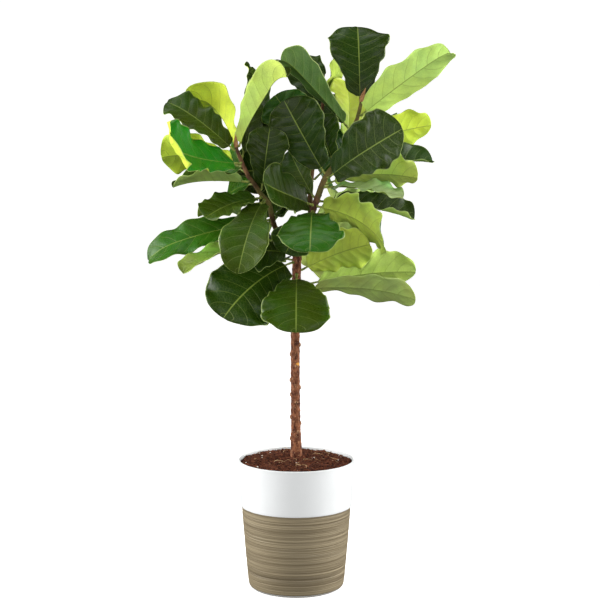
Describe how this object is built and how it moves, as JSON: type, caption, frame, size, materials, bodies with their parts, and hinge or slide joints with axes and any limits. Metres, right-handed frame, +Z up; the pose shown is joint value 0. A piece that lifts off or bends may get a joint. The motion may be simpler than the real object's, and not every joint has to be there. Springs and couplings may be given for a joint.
{
  "type": "potted fiddle leaf fig",
  "caption": "Tree-form fiddle leaf fig with broad waisted leaves on a bare slender trunk, growing in potting mix in a round tapered planter with a smooth band over a combed body.",
  "frame": {"origin": "centre of the planter's flat underside", "axes": "+Z up along the trunk, +X to the right as seen from the front, -Y towards the front"},
  "size_m": [0.6458, 0.4701, 1.2008],
  "materials": {
    "planter": "satin",
    "grower_pot": "satin",
    "potting_mix": "matte",
    "bark": "matte",
    "branch": "matte",
    "leaf": "satin"
  },
  "bodies": {
    "root": {"branch_left": "branch", "branch_middle": "branch", "branch_right": "branch", "grower_pot": "grower_pot", "leaf_01": "leaf", "leaf_02": "leaf", "leaf_03": "leaf", "leaf_04": "leaf", "leaf_05": "leaf", "leaf_06": "leaf", "leaf_07": "leaf", "leaf_08": "leaf", "leaf_09": "leaf", "leaf_10": "leaf", "leaf_11": "leaf", "leaf_12": "leaf", "leaf_13": "leaf", "leaf_14": "leaf", "leaf_15": "leaf", "leaf_16": "leaf", "leaf_17": "leaf", "leaf_18": "leaf", "leaf_19": "leaf", "leaf_20": "leaf", "leaf_21": "leaf", "leaf_22": "leaf", "leaf_23": "leaf", "leaf_24": "leaf", "leaf_25": "leaf", "leaf_26": "leaf", "leaf_27": "leaf", "leaf_28": "leaf", "leaf_29": "leaf", "leaf_30": "leaf", "leaf_31": "leaf", "leaf_32": "leaf", "leaf_33": "leaf", "leaf_34": "leaf", "leaf_35": "leaf", "leaf_36": "leaf", "leaf_37": "leaf", "leaf_38": "leaf", "leaf_39": "leaf", "leaf_40": "leaf", "leaf_41": "leaf", "leaf_42": "leaf", "leaf_43": "leaf", "leaf_44": "leaf", "leaf_45": "leaf", "leaf_46": "leaf", "leaf_47": "leaf", "leaf_48": "leaf", "leaf_49": "leaf", "leaf_50": "leaf", "leaf_51": "leaf", "leaf_52": "leaf", "leaf_53": "leaf", "planter": "planter", "potting_mix": "potting_mix", "trunk": "bark"}
  },
  "joints": []
}
